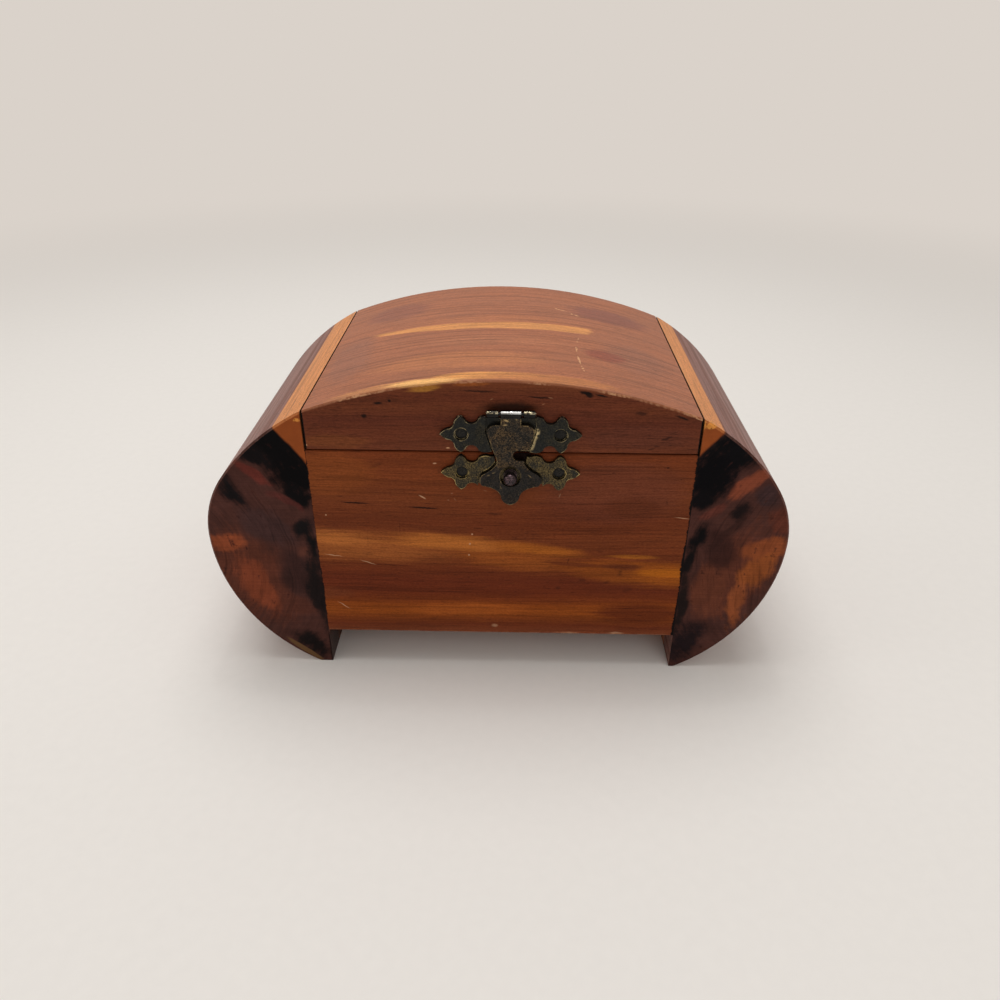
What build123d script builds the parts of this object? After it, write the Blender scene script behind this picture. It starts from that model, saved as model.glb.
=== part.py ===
from build123d import *
import os

os.makedirs("parts", exist_ok=True)

# Lengths are in millimetres. X runs along the box, the front looks to -Y and Z is up.
# The origin lies on the floor, in the middle of the whole object.

# Outline from the front, one curve that runs over both end blocks and the lid
overall_width = 152.0
box_depth = 79.0
widest_height = 41.75
arch_radius = 136.6
arch_top_height = 87.3
foot_width = 3.3

# Place of the shoulder of that curve, as shares of the way from the widest point to the lid
shoulder_across_share = 0.22
shoulder_up_share = 0.5

# End blocks and the boards between them
end_block_width = 27.5
boards_middle_x = 1.1
board_thickness = 9.5
foot_height = 11.3
bottom_thickness = 6.0
bottom_rise = 2.5
groove_depth = 4.0
panel_play = 0.15
rim_bevel = 0.5
arris_bevel = 0.3

# Lid
lid_height = 18.65
lid_end_gap = 0.4
seam_gap = 0.3

# Hidden loose tenons between the boards and the end blocks
tenon_thickness = 3.2
tenon_reach = 8.0
tenon_inset = 11.5
fixing_play = 0.05

# Cut tacks: square shanks and round heads
tack_shank_width = 1.0
tack_length = 7.0
tack_head_radius = 1.3
tack_head_height = 0.55
tack_head_rim_share = 0.3
dish_radius = 1.65

# Latch, measured from its own middle and from the seam
latch_shift_x = 2.3
barrel_height = 10.9
barrel_offset = 1.2
barrel_radius = 0.9
latch_pin_radius = 0.45
latch_pin_overhang = 0.15
hasp_knuckle_width = 4.86
knuckle_gap = 0.6
plate_knuckle_width = 2.7
barrel_side_play = 0.3
plate_half_width = 17.2
arm_half_height = 4.75
lid_arm_height = 5.4
catch_arm_height = 5.1
latch_tack_reach = 12.0
base_thickness = 0.5
arm_thickness = 1.2
hasp_back_offset = 0.8
hasp_thickness = 1.0
hasp_play = 0.45
hasp_length = 24.8
hasp_half_width = 7.6
shoulder_drop = 2.7
hasp_hole_width = 5.0
hasp_hole_height = 5.7
notch_reach_x = 3.1
notch_height = 0.1
notch_length = 5.0
notch_width = 2.9
web_half_width = 8.3
web_top_drop = 2.4
web_bottom_drop = 8.4

# Points of half an arm, each pair as shares of the plate's half width and of the arm's half height
arm_outline_shares = [
    (0.291, 0.968),
    (0.400, 0.989),
    (0.455, 0.885),
    (0.546, 0.600),
    (0.628, 0.716),
    (0.655, 0.874),
    (0.709, 1.000),
    (0.767, 0.853),
    (0.797, 0.653),
    (0.831, 0.379),
    (0.895, 0.295),
    (0.953, 0.168),
    (1.000, 0.000),
]

# Points of half the hasp, each pair as shares of its half width and of its length below the barrel
hasp_outline_shares = [
    (0.474, 0.109),
    (0.684, 0.133),
    (0.757, 0.190),
    (0.638, 0.315),
    (0.513, 0.431),
    (0.447, 0.492),
    (0.447, 0.528),
    (0.605, 0.589),
    (0.829, 0.641),
    (1.000, 0.706),
    (0.921, 0.782),
    (0.684, 0.798),
    (0.461, 0.831),
    (0.355, 0.867),
    (0.303, 0.907),
    (0.197, 0.972),
    (0.000, 1.000),
]

# Knob that the hasp closes over
knob_drop = 5.8
knob_shank_radius = 0.9
knob_shank_length = 6.5
knob_flange_radius = 1.7
knob_flange_thickness = 0.25
knob_neck_radius = 1.1
knob_ball_radius = 1.72
knob_ball_offset = 2.9

# Hinges on the back
hinge_inset = 20.5
leaf_width = 16.0
leaf_height = 8.0
leaf_thickness = 0.8
leaf_corner_radius = 1.0
hinge_offset = 1.6
hinge_knuckle_radius = 1.25
hinge_pin_radius = 0.6
hinge_pin_overhang = 0.3
hinge_knuckle_gap = 0.3
lid_knuckle_width = 5.4
leaf_tack_inset = 3.4
leaf_tack_rise = 5.2

# Places that follow from the sizes
half_width = overall_width / 2
inner_width = overall_width - 2 * end_block_width
front_reach = knob_ball_offset + knob_ball_radius
back_reach = hinge_offset + hinge_knuckle_radius
front_y = (front_reach - back_reach - box_depth) / 2
back_y = front_y + box_depth
left_face_x = boards_middle_x - inner_width / 2
right_face_x = boards_middle_x + inner_width / 2
lid_bottom_height = arch_top_height - lid_height
board_top_height = lid_bottom_height - seam_gap
board_height = board_top_height - foot_height
seam_height = board_top_height + seam_gap / 2
latch_x = boards_middle_x + latch_shift_x
latch_axis_y = front_y - barrel_offset
latch_axis_z = seam_height + barrel_height
hinge_axis_y = back_y + hinge_offset
hinge_reach_x = inner_width / 2 - hinge_inset
tack_hole_width = tack_shank_width + 2 * fixing_play
knob_hole_radius = knob_shank_radius + fixing_play

# Plane on the front face, with its middle at the latch and the seam. Its Z looks out to the front.
latch_face = Plane(origin=(latch_x, front_y, seam_height), x_dir=(1, 0, 0), z_dir=(0, -1, 0))

# Plane on the back face at the seam. Its Z looks out to the back and its X runs to the left.
back_face = Plane(
    origin=(boards_middle_x, back_y, seam_height), x_dir=(-1, 0, 0), z_dir=(0, 1, 0)
)

lid_tack_spots = [
    (-latch_tack_reach, lid_arm_height),
    (latch_tack_reach, lid_arm_height),
]
catch_tack_spots = [
    (-latch_tack_reach, -catch_arm_height),
    (latch_tack_reach, -catch_arm_height),
]
hinge_spots = [-hinge_reach_x, hinge_reach_x]
leaf_tack_reach = leaf_width / 2 - leaf_tack_inset
body_leaf_tack_spots = [
    (spot + step, -leaf_tack_rise)
    for spot in hinge_spots
    for step in (-leaf_tack_reach, leaf_tack_reach)
]
lid_leaf_tack_spots = [
    (spot + step, leaf_tack_rise)
    for spot in hinge_spots
    for step in (-leaf_tack_reach, leaf_tack_reach)
]


# Height of the arch that the lid's top and the ends of the blocks follow
def arch_height(x):
    return arch_top_height - arch_radius + (arch_radius**2 - x**2) ** 0.5


# Draw a chain of arcs, each through three of the points in turn
def draw_arc_chain(points):
    for start in range(0, len(points) - 2, 2):
        ThreePointArc(points[start], points[start + 1], points[start + 2])


# Sink round holes from a plane into the part at hand
def sink_holes(plane, spots, radius, depth):
    with BuildSketch(plane) as holes:
        with Locations(*spots):
            Circle(radius)
    extrude(holes.sketch, amount=-depth, mode=Mode.SUBTRACT)


# Sink the square holes of tacks from a plane into the part at hand
def sink_tack_holes(plane, spots, depth):
    with BuildSketch(plane) as holes:
        with Locations(*spots):
            Rectangle(tack_hole_width, tack_hole_width)
    extrude(holes.sketch, amount=-depth, mode=Mode.SUBTRACT)


# Hole or rod along X through a point of the YZ plane
def rod_along_x(start_x, length, y, z, radius, mode=Mode.ADD):
    with BuildSketch(Plane.YZ.offset(start_x)) as end:
        with Locations((y, z)):
            Circle(radius)
    extrude(end.sketch, amount=length, mode=mode)


# Middle of the loose tenons in the front and in the back board
front_tenon_y = front_y + board_thickness / 2
back_tenon_y = back_y - board_thickness / 2
tenon_height = board_height - 2 * tenon_inset


# Block across a joint face, as a loose tenon or as the mortise for one
def span_joint(face_x, y, play, mode=Mode.ADD):
    with Locations((face_x, y, foot_height + board_height / 2)):
        Box(
            2 * (tenon_reach + play),
            tenon_thickness + 2 * play,
            tenon_height + 2 * play,
            mode=mode,
        )


# End block: flat inside face, three arcs outside that run on into the arch, a narrow flat foot
def make_end_block(label, side, face_x):
    face_height = arch_height(face_x)
    shoulder_x = half_width - shoulder_across_share * (half_width - side * face_x)
    shoulder_height = widest_height + shoulder_up_share * (face_height - widest_height)
    foot_corner = (face_x, 0)
    foot_point = (side * (inner_width / 2 + foot_width), 0)
    widest_point = (side * half_width, widest_height)
    shoulder_point = (side * shoulder_x, shoulder_height)
    face_point = (face_x, face_height)
    with BuildPart() as block:
        with BuildSketch(Plane.XZ.offset(-front_y)):
            with BuildLine():
                TangentArc(widest_point, foot_point, tangent=(0, -1))
                shoulder = TangentArc(widest_point, shoulder_point, tangent=(0, 1))
                TangentArc(shoulder_point, face_point, tangent=shoulder % 1)
                Line(face_point, foot_corner)
                Line(foot_corner, foot_point)
            make_face()
        extrude(amount=-box_depth)
        chamfer(block.edges().filter_by(GeomType.CIRCLE), length=rim_bevel)
        for tenon_y in (front_tenon_y, back_tenon_y):
            span_joint(face_x, tenon_y, fixing_play, Mode.SUBTRACT)
    block.part.label = label
    export_step(block.part, f"parts/{label}.step")


make_end_block("left_end_block", -1, left_face_x)
make_end_block("right_end_block", 1, right_face_x)


# Front or back board with a groove on its inner face for the bottom
def make_board(label, outer_y, inward, face, tack_spots):
    middle_y = outer_y + inward * board_thickness / 2
    groove_y = outer_y + inward * (board_thickness - groove_depth / 2)
    groove_height = bottom_thickness + panel_play
    groove_z = foot_height + bottom_rise + groove_height / 2
    with BuildPart() as board:
        with Locations((boards_middle_x, middle_y, foot_height + board_height / 2)):
            Box(inner_width, board_thickness, board_height)
        long_edges = board.edges().filter_by(Axis.X)
        if inward > 0:
            outer_edges = long_edges.group_by(Axis.Y)[0]
        else:
            outer_edges = long_edges.group_by(Axis.Y)[-1]
        chamfer(outer_edges, length=arris_bevel)
        with Locations((boards_middle_x, groove_y, groove_z)):
            Box(inner_width, groove_depth, groove_height, mode=Mode.SUBTRACT)
        for face_x in (left_face_x, right_face_x):
            span_joint(face_x, middle_y, fixing_play, Mode.SUBTRACT)
        sink_tack_holes(face, tack_spots, tack_length)
        if face is latch_face:
            knob_hole_depth = knob_shank_length + fixing_play
            sink_holes(face, [(0, -knob_drop)], knob_hole_radius, knob_hole_depth)
    board.part.label = label
    export_step(board.part, f"parts/{label}.step")


make_board("front_board", front_y, 1, latch_face, catch_tack_spots)
make_board("back_board", back_y, -1, back_face, body_leaf_tack_spots)

# Bottom, held in the grooves of both boards
bottom_length = inner_width - 2 * panel_play
bottom_depth = box_depth - 2 * (board_thickness - groove_depth + panel_play)
with BuildPart() as bottom_board:
    with Locations(
        (
            boards_middle_x,
            (front_y + back_y) / 2,
            foot_height + bottom_rise + bottom_thickness / 2,
        )
    ):
        Box(bottom_length, bottom_depth, bottom_thickness)
bottom_board.part.label = "bottom_board"
export_step(bottom_board.part, "parts/bottom_board.step")

# Loose tenons in the four upright joints
with BuildPart() as board_tenons:
    for face_x in (left_face_x, right_face_x):
        for tenon_y in (front_tenon_y, back_tenon_y):
            span_joint(face_x, tenon_y, 0)
board_tenons.part.label = "board_tenons"
export_step(board_tenons.part, "parts/board_tenons.step")

# Lid: one solid arched board
lid_left_x = left_face_x + lid_end_gap
lid_right_x = right_face_x - lid_end_gap
left_arch_point = (lid_left_x, arch_height(lid_left_x))
right_arch_point = (lid_right_x, arch_height(lid_right_x))
with BuildPart() as lid:
    with BuildSketch(Plane.XZ.offset(-front_y)):
        with BuildLine():
            ThreePointArc(left_arch_point, (0, arch_top_height), right_arch_point)
            Polyline(
                right_arch_point,
                (lid_right_x, lid_bottom_height),
                (lid_left_x, lid_bottom_height),
                left_arch_point,
            )
        make_face()
    extrude(amount=-box_depth)
    chamfer(lid.edges().filter_by(GeomType.CIRCLE), length=rim_bevel)
    lower_edges = lid.edges().filter_by(Axis.X).group_by(Axis.Z)[0]
    chamfer(lower_edges, length=arris_bevel)
    sink_tack_holes(latch_face, lid_tack_spots, tack_length)
    sink_tack_holes(back_face, lid_leaf_tack_spots, tack_length)
lid.part.label = "lid"
export_step(lid.part, "parts/lid.step")


# Outline of both arms of a latch plate, joined by straight edges behind the hasp
def draw_plate_outline(middle_height):
    half = [
        (across * plate_half_width, up * arm_half_height) for across, up in arm_outline_shares
    ]
    with BuildLine() as outline:
        for side in (-1, 1):
            draw_arc_chain([(side * x, middle_height + z) for x, z in half])
            draw_arc_chain([(side * x, middle_height - z) for x, z in half])
        root_x, root_z = half[0]
        Line((-root_x, middle_height + root_z), (root_x, middle_height + root_z))
        Line((-root_x, middle_height - root_z), (root_x, middle_height - root_z))
    make_face(outline.edges())


# Outline of the hasp: a neck from the barrel, a shield and a three-lobed end
def draw_hasp_outline():
    half = [
        (across * hasp_half_width, barrel_height - down * hasp_length)
        for across, down in hasp_outline_shares
    ]
    neck_x = hasp_knuckle_width / 2
    shoulder_z = barrel_height - shoulder_drop
    with BuildLine() as outline:
        for side in (-1, 1):
            points = [(side * x, z) for x, z in half]
            draw_arc_chain(points)
            Line((side * neck_x, barrel_height), (side * neck_x, shoulder_z))
            Line((side * neck_x, shoulder_z), points[0])
        Line((-neck_x, barrel_height), (neck_x, barrel_height))
    make_face(outline.edges())


# Opening in the raised arms of both plates that the hasp lies in
with BuildSketch() as hasp_window:
    draw_hasp_outline()
    offset(amount=hasp_play)

barrel_half_width = hasp_knuckle_width / 2 + knuckle_gap + plate_knuckle_width
recess_half_width = barrel_half_width + barrel_side_play
shield_height = barrel_height - hasp_outline_shares[2][1] * hasp_length
lobe_half_width = hasp_half_width + hasp_play
lobe_height = barrel_height - max(hasp_outline_shares)[1] * hasp_length


# Raised arms of a latch plate, cut back where the hasp and the barrel lie
def raise_arms(middle_height):
    with BuildSketch(latch_face) as arms:
        draw_plate_outline(middle_height)
        add(hasp_window.sketch, mode=Mode.SUBTRACT)
        with Locations((0, shield_height)):
            Rectangle(
                2 * recess_half_width,
                barrel_height,
                align=(Align.CENTER, Align.MIN),
                mode=Mode.SUBTRACT,
            )
        with Locations((0, lobe_height)):
            Rectangle(
                2 * lobe_half_width,
                barrel_height,
                align=(Align.CENTER, Align.MAX),
                mode=Mode.SUBTRACT,
            )
    extrude(arms.sketch, amount=arm_thickness)


# Plate on the lid: two arms, a thin base between them and the two outer knuckles
with BuildPart() as lid_latch_plate:
    raise_arms(lid_arm_height)
    base_bottom = lid_arm_height - arm_half_height * arm_outline_shares[0][1]
    notch_bottom = barrel_height - barrel_radius - hasp_play
    with BuildSketch(latch_face):
        with Locations((0, base_bottom)):
            Rectangle(
                2 * recess_half_width,
                notch_bottom - base_bottom,
                align=(Align.CENTER, Align.MIN),
            )
        knuckle_middle = barrel_half_width - plate_knuckle_width / 2
        with Locations((-knuckle_middle, notch_bottom), (knuckle_middle, notch_bottom)):
            Rectangle(
                plate_knuckle_width,
                barrel_height - notch_bottom,
                align=(Align.CENTER, Align.MIN),
            )
    extrude(amount=base_thickness)
    for start_x in (-barrel_half_width, barrel_half_width - plate_knuckle_width):
        rod_along_x(
            latch_x + start_x, plate_knuckle_width, latch_axis_y, latch_axis_z, barrel_radius
        )
    rod_along_x(
        latch_x - barrel_half_width,
        2 * barrel_half_width,
        latch_axis_y,
        latch_axis_z,
        latch_pin_radius + fixing_play,
        Mode.SUBTRACT,
    )
    sink_tack_holes(latch_face.offset(arm_thickness), lid_tack_spots, arm_thickness)
    sink_holes(
        latch_face.offset(arm_thickness),
        lid_tack_spots,
        dish_radius,
        arm_thickness - base_thickness,
    )
lid_latch_plate.part.label = "lid_latch_plate"
export_step(lid_latch_plate.part, "parts/lid_latch_plate.step")

# Plate on the front board: two arms and a hidden web that carries the knob
with BuildPart() as catch_plate:
    raise_arms(-catch_arm_height)
    with BuildSketch(latch_face):
        with Locations((0, -web_bottom_drop)):
            Rectangle(
                2 * web_half_width,
                web_bottom_drop - web_top_drop,
                align=(Align.CENTER, Align.MIN),
            )
    extrude(amount=base_thickness)
    sink_tack_holes(latch_face.offset(arm_thickness), catch_tack_spots, arm_thickness)
    sink_holes(
        latch_face.offset(arm_thickness),
        catch_tack_spots,
        dish_radius,
        arm_thickness - base_thickness,
    )
    web_front = latch_face.offset(base_thickness)
    sink_holes(web_front, [(0, -knob_drop)], knob_hole_radius, base_thickness)
catch_plate.part.label = "catch_plate"
export_step(catch_plate.part, "parts/catch_plate.step")

# Hasp with its knuckle, the hole for the knob and the notch in its right edge
with BuildPart() as hasp:
    with BuildSketch(latch_face.offset(hasp_back_offset)):
        draw_hasp_outline()
        with Locations((0, -knob_drop)):
            SlotOverall(hasp_hole_height, hasp_hole_width, rotation=90, mode=Mode.SUBTRACT)
        with Locations((notch_reach_x, notch_height)):
            SlotOverall(notch_length, notch_width, mode=Mode.SUBTRACT)
    extrude(amount=hasp_thickness)
    rod_along_x(
        latch_x - hasp_knuckle_width / 2,
        hasp_knuckle_width,
        latch_axis_y,
        latch_axis_z,
        barrel_radius,
    )
    rod_along_x(
        latch_x - hasp_knuckle_width / 2,
        hasp_knuckle_width,
        latch_axis_y,
        latch_axis_z,
        latch_pin_radius + fixing_play,
        Mode.SUBTRACT,
    )
hasp.part.label = "hasp"
export_step(hasp.part, "parts/hasp.step")

# Pin through the three knuckles of the latch
with BuildPart() as hasp_pin:
    rod_along_x(
        latch_x - barrel_half_width - latch_pin_overhang,
        2 * (barrel_half_width + latch_pin_overhang),
        latch_axis_y,
        latch_axis_z,
        latch_pin_radius,
    )
hasp_pin.part.label = "hasp_pin"
export_step(hasp_pin.part, "parts/hasp_pin.step")

# Knob with a flange on the web, a ball in front of the hasp and a shank in the board
with BuildPart() as catch_knob:
    flange_top = base_thickness + knob_flange_thickness
    ball_start = knob_ball_offset - (knob_ball_radius**2 - knob_neck_radius**2) ** 0.5
    ball_end = knob_ball_offset + knob_ball_radius
    knob_plane = Plane(
        origin=(latch_x, front_y, seam_height - knob_drop), x_dir=(1, 0, 0), z_dir=(0, 0, -1)
    )
    with BuildSketch(knob_plane):
        with BuildLine():
            Polyline(
                (0, ball_end),
                (0, -knob_shank_length),
                (knob_shank_radius, -knob_shank_length),
                (knob_shank_radius, base_thickness),
                (knob_flange_radius, base_thickness),
                (knob_flange_radius, flange_top),
                (knob_neck_radius, flange_top),
                (knob_neck_radius, ball_start),
            )
            ThreePointArc(
                (knob_neck_radius, ball_start),
                (knob_ball_radius, knob_ball_offset),
                (0, ball_end),
            )
        make_face()
    revolve(axis=Axis((latch_x, front_y, seam_height - knob_drop), (0, -1, 0)))
catch_knob.part.label = "catch_knob"
export_step(catch_knob.part, "parts/catch_knob.step")


# Tacks with square shanks and low conical heads. Each head lies on the seat in front of the wood.
def make_tacks(label, face, spots, seat):
    rim = tack_head_height * tack_head_rim_share
    with BuildPart() as tacks:
        with BuildSketch(face.offset(fixing_play - tack_length)):
            with Locations(*spots):
                Rectangle(tack_shank_width, tack_shank_width)
        extrude(amount=seat + tack_length - fixing_play)
        for across, up in spots:
            spot = face.from_local_coords((across, up, 0))
            profile_plane = Plane(origin=spot, x_dir=face.x_dir, z_dir=-face.y_dir)
            with BuildSketch(profile_plane):
                with BuildLine():
                    Polyline(
                        (0, seat),
                        (tack_head_radius, seat),
                        (tack_head_radius, seat + rim),
                        (0, seat + tack_head_height),
                        close=True,
                    )
                make_face()
            revolve(axis=Axis(spot, face.z_dir))
    tacks.part.label = label
    export_step(tacks.part, f"parts/{label}.step")


make_tacks("lid_latch_tacks", latch_face, lid_tack_spots, base_thickness)
make_tacks("catch_plate_tacks", latch_face, catch_tack_spots, base_thickness)
make_tacks("hinge_body_tacks", back_face, body_leaf_tack_spots, leaf_thickness)
make_tacks("hinge_lid_tacks", back_face, lid_leaf_tack_spots, leaf_thickness)


# Hinge leaf. Up is 1 for the leaf on the lid and -1 for the leaf on the body.
def make_leaf(label, hinge_x, up, knuckles, gaps, tack_spots):
    middle_x = boards_middle_x + hinge_x
    with BuildPart() as leaf:
        with BuildSketch(back_face) as leaf_outline:
            with Locations((-hinge_x, up * leaf_height / 2)):
                Rectangle(leaf_width, leaf_height)
            far_side = -1 if up > 0 else 0
            far_corners = leaf_outline.vertices().group_by(Axis.Y)[far_side]
            fillet(far_corners, radius=leaf_corner_radius)
            for start_x, width in gaps:
                with Locations((-(hinge_x + start_x + width / 2), up * hinge_offset / 2)):
                    Rectangle(width, hinge_offset, mode=Mode.SUBTRACT)
        extrude(amount=leaf_thickness)
        for start_x, width in knuckles:
            rod_along_x(
                middle_x + start_x, width, hinge_axis_y, seam_height, hinge_knuckle_radius
            )
        rod_along_x(
            middle_x - leaf_width / 2,
            leaf_width,
            hinge_axis_y,
            seam_height,
            hinge_pin_radius + fixing_play,
            Mode.SUBTRACT,
        )
        own_spots = [spot for spot in tack_spots if abs(spot[0] + hinge_x) < leaf_width / 2]
        sink_tack_holes(back_face.offset(leaf_thickness), own_spots, leaf_thickness)
    leaf.part.label = label
    export_step(leaf.part, f"parts/{label}.step")


# Both hinges, each with two outer knuckles on the body and one middle knuckle on the lid
middle_start = -lid_knuckle_width / 2
outer_width = (leaf_width - lid_knuckle_width) / 2 - hinge_knuckle_gap
outer_spans = [
    (-leaf_width / 2, outer_width),
    (leaf_width / 2 - outer_width, outer_width),
]
outer_gaps = [
    (-leaf_width / 2, outer_width + hinge_knuckle_gap),
    (leaf_width / 2 - outer_width - hinge_knuckle_gap, outer_width + hinge_knuckle_gap),
]
middle_spans = [(middle_start, lid_knuckle_width)]
middle_gaps = [(middle_start - hinge_knuckle_gap, lid_knuckle_width + 2 * hinge_knuckle_gap)]

for name, hinge_x in (("left", -hinge_reach_x), ("right", hinge_reach_x)):
    make_leaf(
        f"{name}_hinge_body_leaf", hinge_x, -1, outer_spans, middle_gaps, body_leaf_tack_spots
    )
    make_leaf(
        f"{name}_hinge_lid_leaf", hinge_x, 1, middle_spans, outer_gaps, lid_leaf_tack_spots
    )
    with BuildPart() as hinge_pin:
        rod_along_x(
            boards_middle_x + hinge_x - leaf_width / 2 - hinge_pin_overhang,
            leaf_width + 2 * hinge_pin_overhang,
            hinge_axis_y,
            seam_height,
            hinge_pin_radius,
        )
    hinge_pin.part.label = f"{name}_hinge_pin"
    export_step(hinge_pin.part, f"parts/{name}_hinge_pin.step")
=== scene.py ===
import math

import bmesh
import bpy
from mathutils import Matrix, Vector


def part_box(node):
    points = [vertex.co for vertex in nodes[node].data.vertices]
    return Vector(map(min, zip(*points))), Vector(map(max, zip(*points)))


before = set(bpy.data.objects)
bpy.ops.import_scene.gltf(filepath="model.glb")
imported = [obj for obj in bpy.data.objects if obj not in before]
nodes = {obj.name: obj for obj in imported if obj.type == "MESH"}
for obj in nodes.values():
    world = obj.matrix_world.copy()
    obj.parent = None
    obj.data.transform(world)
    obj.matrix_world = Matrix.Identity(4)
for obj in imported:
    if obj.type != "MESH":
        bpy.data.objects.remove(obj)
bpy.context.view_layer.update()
mm = 0.001
print("frame loaded,", len(nodes), "pieces")


# A value on its way through a material. Sums with it add Math nodes.
class Wire:
    def __init__(self, finish, socket):
        self.finish = finish
        self.socket = socket

    def sum(self, operation, first, second=0.0):
        sockets = {0: first, 1: second}
        return self.finish.node("ShaderNodeMath", {"operation": operation}, sockets)

    def __add__(self, other):
        return self.sum("ADD", self, other)

    def __radd__(self, other):
        return self.sum("ADD", other, self)

    def __sub__(self, other):
        return self.sum("SUBTRACT", self, other)

    def __rsub__(self, other):
        return self.sum("SUBTRACT", other, self)

    def __mul__(self, other):
        return self.sum("MULTIPLY", self, other)

    def __rmul__(self, other):
        return self.sum("MULTIPLY", other, self)

    def __truediv__(self, other):
        return self.sum("DIVIDE", self, other)

    def __abs__(self):
        return self.sum("ABSOLUTE", self)

    def sine(self):
        return self.sum("SINE", self)

    # A noise from 0 to 1 made a factor about 1, up and down by the depth
    def sway(self, depth):
        return (1.0 - depth) + 2.0 * depth * self


# The nodes of one material or sky. Places in them are in millimetres, in the model's own frame.
class Finish:
    def __init__(self, name, kind="materials"):
        self.owner = getattr(bpy.data, kind).new(name)
        self.owner.use_nodes = True
        self.tree = self.owner.node_tree
        self.tree.nodes.clear()

    def node(self, kind, settings=None, sockets=None, output=0):
        made = self.tree.nodes.new(kind)
        for key, value in (settings or {}).items():
            if key == "stops":
                fillRamp(made.color_ramp, value)
            else:
                setattr(made, key, value)
        for key, value in (sockets or {}).items():
            if isinstance(value, Wire):
                self.tree.links.new(value.socket, made.inputs[key])
            else:
                made.inputs[key].default_value = value
        return Wire(self, made.outputs[output]) if made.outputs else None

    def place(self):
        spot = self.node("ShaderNodeTexCoord", output="Object")
        return self.vector("SCALE", spot, scale=1 / mm)

    # How far a face looks to the right, to the back and up, each from -1 to 1
    def facing(self):
        return self.parts(self.node("ShaderNodeTexCoord", output="Normal"))

    def vector(self, operation, first, second=None, scale=None, output=0):
        sockets = {0: first}
        if second is not None:
            sockets[1] = second
        if scale is not None:
            sockets["Scale"] = scale
        return self.node("ShaderNodeVectorMath", {"operation": operation}, sockets, output)

    def parts(self, vector):
        split = self.node("ShaderNodeSeparateXYZ", None, {0: vector})
        outputs = split.socket.node.outputs
        return [Wire(self, outputs[index]) for index in range(3)]

    # Distance from a line along Y through a point
    def fromLine(self, place, point):
        off = self.vector("MULTIPLY", self.vector("SUBTRACT", place, point), (1, 0, 1))
        return self.vector("LENGTH", off, output="Value")

    # Smooth step from 0 at low to 1 at high, or down again where low is the larger
    def rise(self, value, low, high):
        settings = {"interpolation_type": "SMOOTHSTEP"}
        return self.node("ShaderNodeMapRange", settings, {0: value, 1: low, 2: high})

    # Eased into the range from 0 to 1
    def limit(self, value):
        return self.rise(value, 0.0, 1.0)

    # 1 between two places: 0 at the distance none inside them, 1 from the distance full
    def between(self, value, start, end, none, full):
        first = self.rise(value, start + none, start + full)
        return first * self.rise(value, end - none, end - full)

    # Noise with grains of the given reach along X, Y and Z
    def noise(self, place, reach, detail=2.0, rough=0.5, shift=0.0):
        density = [1 / length for length in reach]
        scaled = self.vector("MULTIPLY", place, density)
        moved = self.vector("ADD", scaled, (shift, shift * 0.7, shift * 1.3))
        sockets = {"Vector": moved, "Scale": 1.0, "Detail": detail, "Roughness": rough}
        return self.node("ShaderNodeTexNoise", None, sockets)

    # Noise with round grains
    def grains(self, place, size, detail=2.0, rough=0.5, shift=0.0):
        return self.noise(place, (size, size, size), detail, rough, shift)

    # The place pushed about by up to the given amount
    def warp(self, place, reach, amount, shift=0.0):
        density = [1 / length for length in reach]
        scaled = self.vector("MULTIPLY", place, density)
        moved = self.vector("ADD", scaled, (shift, shift, shift))
        sockets = {"Vector": moved, "Scale": 1.0, "Detail": 2.0}
        cloud = self.node("ShaderNodeTexNoise", None, sockets, "Color")
        centred = self.vector("SUBTRACT", cloud, (0.5, 0.5, 0.5))
        pushed = self.vector("MULTIPLY", centred, [2 * length for length in amount])
        return self.vector("ADD", place, pushed)

    # Soft oval: 1 in its middle, 0 outside its reach
    def patch(self, place, at, reach, turn, soft):
        sockets = {
            "Vector": place,
            "Location": at,
            "Rotation": [math.radians(angle) for angle in turn],
            "Scale": reach,
        }
        local = self.node("ShaderNodeMapping", {"vector_type": "TEXTURE"}, sockets)
        far = self.vector("LENGTH", local, output="Value")
        return self.rise(far, 1.0, 1.0 - soft)

    def blend(self, factor, first, second):
        settings = {"data_type": "RGBA", "blend_type": "MIX"}
        return self.node("ShaderNodeMix", settings, {0: factor, 6: first, 7: second}, 2)

    def dim(self, colour, amount):
        if not isinstance(colour, Wire):
            colour = colour[:3]
        return self.vector("SCALE", colour, scale=amount)

    def ramp(self, value, bands, light):
        stops = [(share, shade(*colour, light)) for share, colour in bands]
        return self.node("ShaderNodeValToRGB", {"stops": stops}, {0: value})

    # 0 on open faces, rising towards the edges within the given reach
    def edges(self, reach):
        bent = self.node("ShaderNodeBevel", {"samples": 8}, {"Radius": reach * mm})
        flat = self.node("ShaderNodeNewGeometry", output="Normal")
        along = self.vector("DOT_PRODUCT", bent, flat, output="Value")
        return 1.0 - along

    def bump(self, height, depth):
        sockets = {"Height": height, "Distance": depth * mm, "Strength": 1.0}
        return self.node("ShaderNodeBump", None, sockets)

    def surface(self, sockets):
        shader = self.node("ShaderNodeBsdfPrincipled", None, sockets)
        self.node("ShaderNodeOutputMaterial", None, {"Surface": shader})
        return self.owner


def fillRamp(ramp, stops):
    while len(ramp.elements) > 1:
        ramp.elements.remove(ramp.elements[-1])
    for index, (position, colour) in enumerate(stops):
        if index == 0:
            element = ramp.elements[0]
            element.position = position
        else:
            element = ramp.elements.new(position)
        element.color = colour


# Linear colour of a shade given in 0 to 255, made lighter by the light factor
def shade(red, green, blue, light=1.0):
    def linear(level):
        level /= 255
        if level <= 0.04045:
            return level / 12.92
        return ((level + 0.055) / 1.055) ** 2.4

    return (*(min(1.0, linear(level) * light) for level in (red, green, blue)), 1.0)


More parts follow.
